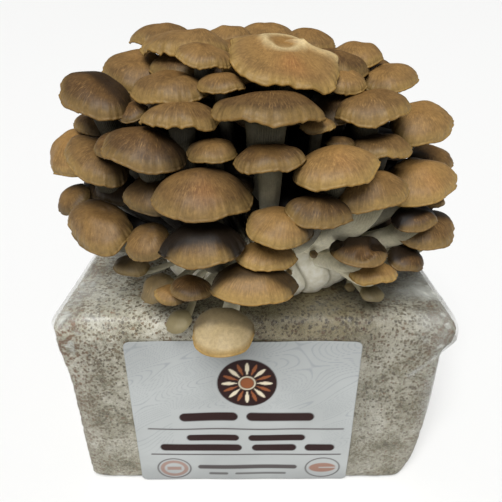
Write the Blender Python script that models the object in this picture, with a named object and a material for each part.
"""Oyster mushroom grow kit: a clear bag of spawned sawdust with a ripe bunch growing out of it.

The block of sawdust stands upright in its film bag. The film is cut open on top, and there the
bunch grows from one lump of fused stem feet. Lengths in the tables are millimetres and angles
are degrees; the mesh is in metres, +Z up, with the middle of the bag's flat underside at the
origin and the labelled face towards -Y.
"""
import math

import bmesh
import bpy
import numpy as np

MM = 0.001
TOUCH_GAP = 0.3                    # air between pieces that touch in the real kit

# Film bag round the block: outside sizes
BAG_HEIGHT = 113.4
BAG_SHOULDER = 98.0                # height up to which the bag widens
BAG_HALF_WIDTH_FOOT = 93.0
BAG_HALF_WIDTH_TOP = 97.5
BAG_HALF_DEPTH = 51.5
BAG_BELLY = 1.2                    # how far the long faces bulge at half height
BAG_SQUARENESS = 14.0              # exponent of the rounded-rectangle section
BAG_STEPS = 28                     # points round one section
FILM = 0.8                         # film with its folds, made thick enough to be a solid
# Height and inset of the outer wall, from the flat foot to the soft top edge
WALL = ((0.0, 4.0), (1.6, 1.0), (5.0, 0.0), (30.0, 0.0), (60.0, 0.0), (84.0, 0.0),
        (BAG_SHOULDER, 0.4), (106.0, 1.2), (110.6, 3.2), (112.8, 6.5))

# Folded film ears at the two front top corners: side, reach, height of the tip, and the height
# over which the fold runs out downwards
EARS = ((-1, 5.0, 105.0, 85.0), (1, 7.0, 96.0, 9.0))
EAR_RISE = 13.0                    # height over which an ear fades upwards
EAR_ANGLE = 26.0                   # degrees round the section over which it fades
EAR_LEAN = 0.35                    # part of the reach that points to the front
SLUMP = 8.0                        # how much rounder the foot's right end is
SLUMP_HEIGHT = 26.0                # height over which that fades

# Opening cut in the top of the film
MOUTH_CENTRE = (4.0, -11.0)
MOUTH_HALF = (50.0, 29.0)

# Paper label on the front
LABEL_LEFT = -64.5
LABEL_RIGHT = 52.5
LABEL_PAPER = 0.4
LABEL_LIFT = 0.7                   # glued face's distance from the film's true curve
LABEL_CORNER = 3.0
LABEL_COLUMNS = 8
LABEL_ROWS = (1.8, 6.0, 20.0, 32.0, 44.0, 56.0, 69.0, 82.0, 91.0, 100.0)   # heights, foot to top

# Lump of fused stem feet, an ellipsoid cut flat where it meets the block
LUMP_CENTRE = (4.0, -10.0, 127.0)
LUMP_HALF = (52.0, 29.0, 26.0)
LUMP_STEPS = (18, 9)               # faces round the lump and from pole to pole
LUMP_GROOVE = 0.05                 # depth of the grooves between feet, of its size
LUMP_GROOVE_TURNS = 9.0            # half the count of grooves round the lump
BUNCH_HALF = (95.0, 70.0, 90.0)    # reach of the bunch from the lump, which spreads the feet
LEAST_RISE = 0.12                  # lowest way up from the lump's middle at which a foot sits

# Form shared by every mushroom, in parts of its cap's width unless said otherwise
CAP_DOME = 0.20                    # height of the cap's top over its rim
CAP_SHOULDER = 2.3                 # exponent of the dome's fall towards the rim
CAP_RIM = 0.035                    # thickness at the rim, above the least
RIM_LEAST = 0.7                    # millimetres
RIM_DROP = 0.3                     # how far the rim curls under, of its thickness
CAP_GILLS = 0.14                   # depth of the gills at the stem
GILL_FALL = 1.3                    # exponent with which the gills thin outwards
CAP_OFFSET = 0.45                  # stem's place behind the cap's middle, of its half length
NECK_REACH = 0.2                   # part of the cap's radius that the stem's top spreads over
NECK_DROP = 0.05                   # neck's depth under the gills
NECK_SHIFT = 0.1                   # neck's place before the hub, of the offset
STEM_WIDTH = 0.11
STEM_LEAST = 1.6                   # millimetres
STEM_MOST = 5.0                    # millimetres
STEM_FLARE = 1.15                  # thickening at the neck
STEM_TAPER = 0.35                  # thinning down to the foot
STEM_HANG = 0.35                   # straight pull under the cap, of the stem's span
STEM_RISE = 0.3                    # straight rise from the lump, of the stem's span

# One row for each mushroom: x, y and z of the cap's middle, its width, the way its front edge
# turns from -Y, how far that edge tips down, its roll to the side, and its length over width
MUSHROOMS = {
    "crown": (
        (-45, 14, 231, 31, -32, 4, -2, 1.05),
        (-29.5, -17, 229, 40, -26, -2, 0, 0.90),
        (-20.5, -42.5, 229, 22, -10, 14, -10, 0.85),
        (-12, 4, 232, 23, -18, 12, -4, 0.95),
        (6, 22, 230.5, 30, 8, 10, 0, 1.10),
        (26, 6, 230, 23, 22, 16, 2, 1.15),
        (11, -38, 227, 44, 4, 15, -8, 1.20),
        (45, -13, 226, 23, 24, 16, 6, 0.90),
        (35.5, -35, 218.5, 20.5, 14, 20, 0, 0.90),
    ),
    "left": (
        (-53, -12, 219, 33, -42, 20, -16, 0.85),
        (-33.5, -44, 216, 31, -16, 8, -2, 0.85),
        (-66, -36, 212.5, 36, -44, 8, -18, 0.75),
        (-29, -56, 208, 30, 4, 4, -2, 0.75),
        (-72, -18, 197, 25, -32, 6, -4, 0.85),
        (-85, -20, 184, 33, -54, 38, -8, 0.80),
        (-68, -42, 187, 38, -54, 2, -16, 0.65),
        (-43.5, -58, 196, 34.5, -18, 10, -12, 0.85),
        (-86, -28, 164, 20, -40, 38, 6, 0.90),
        (-68, -50, 160, 37, -50, 20, -12, 0.70),
        (-45, -63, 159, 18, -32, 34, -8, 1.15),
    ),
    "right": (
        (59, -20, 217, 27, 36, 12, 12, 0.85),
        (47, -44, 209, 31, 24, 6, 8, 0.85),
        (72, -30, 200, 30, 32, 22, 12, 0.85),
        (51, -48, 194, 26, 12, 4, 2, 0.80),
        (87, -8, 177, 25, 44, 26, 8, 0.85),
        (72, -38, 176, 35, 20, 20, 10, 0.85),
        (46.8, -58, 178.5, 31.5, 22, 7, 8, 0.80),
        (71, -44, 161, 21, 24, 10, 6, 0.85),
        (80, -34, 151, 32, 28, 14, 4, 0.85),
        (45, -56, 151, 25, 2, 10, -2, 0.85),
        (70, -44, 141, 18, 16, 22, -6, 0.95),
        (54, -50, 136, 22, 8, 4, 2, 0.75),
    ),
    "front": (
        (-13.5, -51, 220, 18, -6, 14, 0, 0.85),
        (5, -60, 211, 42, 10, -2, -2, 0.80),
        (-17, -62, 197, 19, -8, 14, 0, 0.90),
        (5, -66, 195, 27, 6, 6, 4, 0.80),
        (30, -66, 191, 34, 14, 8, 10, 0.80),
        (-21, -70, 181, 38, 2, 12, -2, 0.85),
        (9, -73, 170, 26, 0, 14, -8, 0.95),
        (24, -71, 175, 26, 8, 6, -6, 0.80),
        (4, -69, 155, 24, 0, 6, -2, 0.80),
        (-21, -74, 162, 32, 0, 8, 2, 0.85),
    ),
    "low": (
        (-58, -44, 137, 17, -16, 12, -4, 0.85),
        (-28, -64, 137, 18, -10, 12, -6, 0.85),
        (-1, -72, 143, 35, -2, 6, -2, 0.75),
        (-14, -74, 121, 27, -4, 18, -2, 0.95),
    ),
    "back": (
        (-52, 30, 202, 46, -145, 26, 0, 0.85),
        (-5, 46, 204, 50, 180, 26, 0, 0.85),
        (43, 30, 205, 46, 145, 26, 0, 0.85),
        (-74, 16, 178, 42, -118, 26, 0, 0.85),
        (-28, 42, 178, 46, -170, 24, 0, 0.85),
        (23, 42, 175, 46, 170, 24, 0, 0.85),
        (70, 22, 180, 44, 122, 26, 0, 0.85),
        (-54, 34, 150, 42, -145, 18, 0, 0.85),
        (-3, 44, 146, 44, 180, 16, 0, 0.85),
        (50, 34, 149, 42, 148, 18, 0, 0.85),
    ),
}
# Caps at least this wide have this many points round them
CAP_STEPS = ((30, 12), (20, 10), (0, 8))
TOP_RINGS = (0.6,)                 # rings on the cap's upper side, of its radius
GILL_RINGS = (0.75,)               # rings on its gills
STEM_RINGS = (0.0, 0.55, 1.0)      # rings down the stem, of its length


def clear_scene():
    """Remove what the opened file holds."""
    for item in list(bpy.data.objects):
        bpy.data.objects.remove(item, do_unlink=True)


def material(name, colour, roughness):
    """A plain Principled material with one colour."""
    made = bpy.data.materials.new(name)
    made.use_nodes = True
    shader = made.node_tree.nodes["Principled BSDF"]
    shader.inputs["Base Color"].default_value = (*colour, 1.0)
    shader.inputs["Roughness"].default_value = roughness
    shader.inputs["Metallic"].default_value = 0.0
    made.diffuse_color = (*colour, 1.0)
    return made


def place(name, shape, finish, sharp_angle=60.0):
    """Turn a bmesh into a named object of the scene, shaded smooth."""
    bmesh.ops.recalc_face_normals(shape, faces=shape.faces)
    if shape.calc_volume(signed=True) < 0.0:
        bmesh.ops.reverse_faces(shape, faces=shape.faces)
    mesh = bpy.data.meshes.new(name)
    shape.to_mesh(mesh)
    shape.free()
    mesh.shade_smooth()
    mesh.set_sharp_from_angle(angle=math.radians(sharp_angle))
    mesh.materials.append(finish)
    item = bpy.data.objects.new(name, mesh)
    bpy.context.scene.collection.objects.link(item)
    return item


def loft(rings, first_pole=None):
    """Skin closed rings of equal count in order, and close the first and the last ring.

    The first ring's end is poked to first_pole where that is given, and the last is left flat.
    """
    shape = bmesh.new()
    loops = [[shape.verts.new(tuple(point * MM)) for point in ring] for ring in rings]
    for lower, upper in zip(loops, loops[1:]):
        for here in range(len(lower)):
            there = (here + 1) % len(lower)
            shape.faces.new((lower[here], lower[there], upper[there], upper[here]))
    start = shape.faces.new(loops[0])
    shape.faces.new(loops[-1])
    if first_pole is not None:
        poked = bmesh.ops.poke(shape, faces=[start])
        poked["verts"][0].co = tuple(first_pole * MM)
    bmesh.ops.triangulate(shape, faces=shape.faces)
    return shape


def wall_half_sizes(height, inset):
    """Half width and half depth of the bag's section at a height."""
    rise = np.clip(height / BAG_SHOULDER, 0.0, 1.0)
    half_width = BAG_HALF_WIDTH_FOOT + (BAG_HALF_WIDTH_TOP - BAG_HALF_WIDTH_FOOT) * rise
    half_depth = BAG_HALF_DEPTH + BAG_BELLY * math.sin(math.pi * height / BAG_HEIGHT)
    return half_width - inset, half_depth - inset


def signed_power(values, exponent):
    """Raise the size of each value to a power and keep its sign."""
    return np.sign(values) * np.abs(values) ** exponent


def wall_ring(height, inset, ears):
    """One section of the bag or block: a superellipse, with the ears pulled out of it."""
    half_width, half_depth = wall_half_sizes(height, inset)
    angle = np.arange(BAG_STEPS) * 2.0 * math.pi / BAG_STEPS
    bend = 2.0 / BAG_SQUARENESS
    x = half_width * signed_power(np.cos(angle), bend)
    y = half_depth * signed_power(np.sin(angle), bend)
    if ears:
        for side, reach, tip_height, run_out in EARS:
            corner = math.radians(270.0 + side * 45.0)
            off = np.degrees(angle - corner) / EAR_ANGLE
            below = max(tip_height - height, 0.0) / run_out
            above = max(height - tip_height, 0.0) / EAR_RISE
            pulled = reach * np.exp(-below ** 4 - above ** 2 - off * off)
            x = x + side * pulled
            y = y - EAR_LEAN * pulled
    right = np.clip(x / half_width, 0.0, 1.0)
    x = x - SLUMP * math.exp(-height / SLUMP_HEIGHT) * right ** 3
    return np.column_stack((x, y, np.full(BAG_STEPS, height)))


def wall_rings(shrink, ears):
    """The bag's sections moved in by shrink on every side."""
    rings = [wall_ring(height, inset + shrink, ears) for height, inset in WALL]
    for ring in rings:
        ring[:, 2] = shrink + ring[:, 2] * (BAG_HEIGHT - 2.0 * shrink) / BAG_HEIGHT
    return rings


def mouth_ring(height):
    """The cut edge of the film round the bunch."""
    angle = np.arange(BAG_STEPS) * 2.0 * math.pi / BAG_STEPS
    x = MOUTH_CENTRE[0] + MOUTH_HALF[0] * np.cos(angle)
    y = MOUTH_CENTRE[1] + MOUTH_HALF[1] * np.sin(angle)
    return np.column_stack((x, y, np.full(BAG_STEPS, height)))


def make_bag(finish):
    """The film: up the outside, over the cut edge and down the inside."""
    outside = wall_rings(0.0, ears=True) + [mouth_ring(BAG_HEIGHT)]
    inside = [mouth_ring(BAG_HEIGHT - FILM)] + wall_rings(FILM, ears=True)[::-1]
    return place("grow_bag", loft(outside + inside), finish)


def make_block(finish):
    """The spawned sawdust, which fills the bag."""
    shrink = FILM + TOUCH_GAP
    rings = wall_rings(shrink, ears=False)
    middle = np.array((MOUTH_CENTRE[0], MOUTH_CENTRE[1], BAG_HEIGHT - shrink))
    return place("substrate_block", loft(rings[::-1], first_pole=middle), finish)


def make_label(finish):
    """The paper label: a grid laid on the bag's front and given its thickness."""
    shape = bmesh.new()
    grid = bmesh.ops.create_grid(shape, x_segments=LABEL_COLUMNS,
                                 y_segments=len(LABEL_ROWS) - 1, size=1.0)
    heights, insets = np.transpose(WALL)
    for vert in grid["verts"]:
        across = 0.5 * (vert.co.x + 1.0)
        row = round(0.5 * (vert.co.y + 1.0) * (len(LABEL_ROWS) - 1))
        height = LABEL_ROWS[row]
        x = LABEL_LEFT + across * (LABEL_RIGHT - LABEL_LEFT)
        half_width, half_depth = wall_half_sizes(height, np.interp(height, heights, insets))
        depth = half_depth * (1.0 - abs(x / half_width) ** BAG_SQUARENESS) ** (1.0 / BAG_SQUARENESS)
        vert.co = (x * MM, -(depth + LABEL_LIFT) * MM, height * MM)
    corners = [vert for vert in shape.verts if len(vert.link_edges) == 2]
    bmesh.ops.bevel(shape, geom=corners, offset=LABEL_CORNER * MM, segments=2, profile=0.5,
                    affect="VERTICES")
    item = place("label", shape, finish)
    # place() turns the sheet's faces towards -Y or +Y: the paper grows away from the bag
    outward = item.data.polygons[0].normal.y < 0.0
    paper = item.modifiers.new("paper", "SOLIDIFY")
    paper.thickness = LABEL_PAPER * MM
    paper.offset = 1.0 if outward else -1.0
    return item


def make_lump(finish):
    """The fused feet: a grooved ellipsoid, cut flat where it grows out of the block."""
    shape = bmesh.new()
    bmesh.ops.create_uvsphere(shape, u_segments=LUMP_STEPS[0], v_segments=LUMP_STEPS[1],
                              radius=1.0)
    for vert in shape.verts:
        turn = math.atan2(vert.co.y, vert.co.x)
        dent = math.sin(LUMP_GROOVE_TURNS * turn) ** 2 * (1.0 - vert.co.z ** 2)
        groove = 1.0 - LUMP_GROOVE * dent
        for axis in range(3):
            spot = LUMP_CENTRE[axis] + LUMP_HALF[axis] * groove * vert.co[axis]
            vert.co[axis] = spot * MM
    foot = (BAG_HEIGHT - FILM) * MM
    geometry = shape.verts[:] + shape.edges[:] + shape.faces[:]
    cut = bmesh.ops.bisect_plane(shape, geom=geometry, plane_co=(0.0, 0.0, foot),
                                 plane_no=(0.0, 0.0, 1.0), clear_inner=True)
    rim = [item for item in cut["geom_cut"] if isinstance(item, bmesh.types.BMEdge)]
    bmesh.ops.contextual_create(shape, geom=rim)
    return place("stem_base", shape, finish)


def unit(vector):
    """The vector at length 1."""
    return vector / np.linalg.norm(vector)


def cap_axes(turn, tip, roll):
    """Side, forward and up directions of a cap that is turned, tipped down and rolled."""
    turn, tip, roll = np.radians((turn, tip, roll))
    outward = np.array((math.sin(turn), -math.cos(turn), 0.0))
    level = np.array((math.cos(turn), math.sin(turn), 0.0))
    upward = np.array((0.0, 0.0, 1.0))
    forward = outward * math.cos(tip) - upward * math.sin(tip)
    normal = outward * math.sin(tip) + upward * math.cos(tip)
    side = level * math.cos(roll) + normal * math.sin(roll)
    up = normal * math.cos(roll) - level * math.sin(roll)
    return side, forward, up


def stem_foot(top):
    """Where a stem meets the lump, and the lump's outward direction there."""
    way = unit((top - np.array(LUMP_CENTRE)) / np.array(BUNCH_HALF))
    way[2] = max(way[2], LEAST_RISE)
    way = unit(way)
    outward = unit(way / np.array(LUMP_HALF))
    foot = np.array(LUMP_CENTRE) + way * np.array(LUMP_HALF) + outward * 2.0 * TOUCH_GAP
    return foot, outward


def mushroom_rings(row, steps):
    """Rings of one mushroom from the top of its cap, round the rim and down its stem.

    The cap is an ellipse swept about the stem's place behind its middle. Its top falls with a
    power of the distance to the rim, and the gills hang below by a depth that grows inwards.
    The stem is a cubic curve from the gills to the lump.
    """
    x, y, z, width, turn, tip, roll, aspect = row
    side, forward, up = cap_axes(turn, tip, roll)
    half_width = 0.5 * width
    half_length = half_width * aspect
    offset = half_length * CAP_OFFSET
    hub = np.array((x, y, z), float) - forward * offset
    angle = np.arange(steps) * 2.0 * math.pi / steps

    def top_height(reach):
        return CAP_DOME * width * (1.0 - reach ** CAP_SHOULDER)

    def thickness(reach):
        return CAP_RIM * width + RIM_LEAST + CAP_GILLS * width * (1.0 - reach) ** GILL_FALL

    def cap_ring(reach, height):
        across = np.outer(reach * half_width * np.sin(angle), side)
        along = np.outer(reach * (offset + half_length * np.cos(angle)), forward)
        return hub + across + along + height * up

    rings = [cap_ring(reach, top_height(reach)) for reach in TOP_RINGS]
    rings.append(cap_ring(1.0, -RIM_DROP * thickness(1.0)))
    rings += [cap_ring(reach, top_height(reach) - thickness(reach)) for reach in GILL_RINGS]

    neck_height = top_height(NECK_REACH) - thickness(NECK_REACH) - NECK_DROP * width
    neck = hub + up * neck_height + forward * NECK_SHIFT * offset
    foot, outward = stem_foot(neck)
    span = np.linalg.norm(foot - neck)
    pull = neck - up * STEM_HANG * span
    rise = foot + outward * STEM_RISE * span
    radius = min(max(STEM_WIDTH * width, STEM_LEAST), STEM_MOST)
    for part in STEM_RINGS:
        rest = 1.0 - part
        centre = (rest ** 3 * neck + 3.0 * rest ** 2 * part * pull
                  + 3.0 * rest * part ** 2 * rise + part ** 3 * foot)
        course = unit(rest ** 2 * (pull - neck) + 2.0 * rest * part * (rise - pull)
                      + part ** 2 * (foot - rise))
        across = unit(side - course * side.dot(course))
        along = np.cross(course, across)
        thick = radius * (STEM_FLARE if part == 0.0 else 1.0 - STEM_TAPER * part)
        rings.append(centre + thick * (np.outer(np.sin(angle), across)
                                       + np.outer(np.cos(angle), along)))
    return hub + up * top_height(0.0), rings


def make_mushroom(name, row, finish):
    """One mushroom, cap, gills and stem in one body."""
    steps = next(count for least, count in CAP_STEPS if row[3] >= least)
    pole, rings = mushroom_rings(row, steps)
    return place(name, loft(rings, first_pole=pole), finish, sharp_angle=80.0)


clear_scene()
make_block(material("mycelium_on_sawdust", (0.46, 0.40, 0.32), 0.9))
make_bag(material("polypropylene_film", (0.72, 0.74, 0.71), 0.25))
make_label(material("coated_paper", (0.80, 0.82, 0.83), 0.45))
make_lump(material("stem_flesh", (0.72, 0.70, 0.58), 0.7))
cap_finish = material("mushroom_flesh", (0.24, 0.15, 0.08), 0.65)
for region, rows in MUSHROOMS.items():
    for number, row in enumerate(rows, start=1):
        make_mushroom(f"mushroom_{region}_{number}", row, cap_finish)
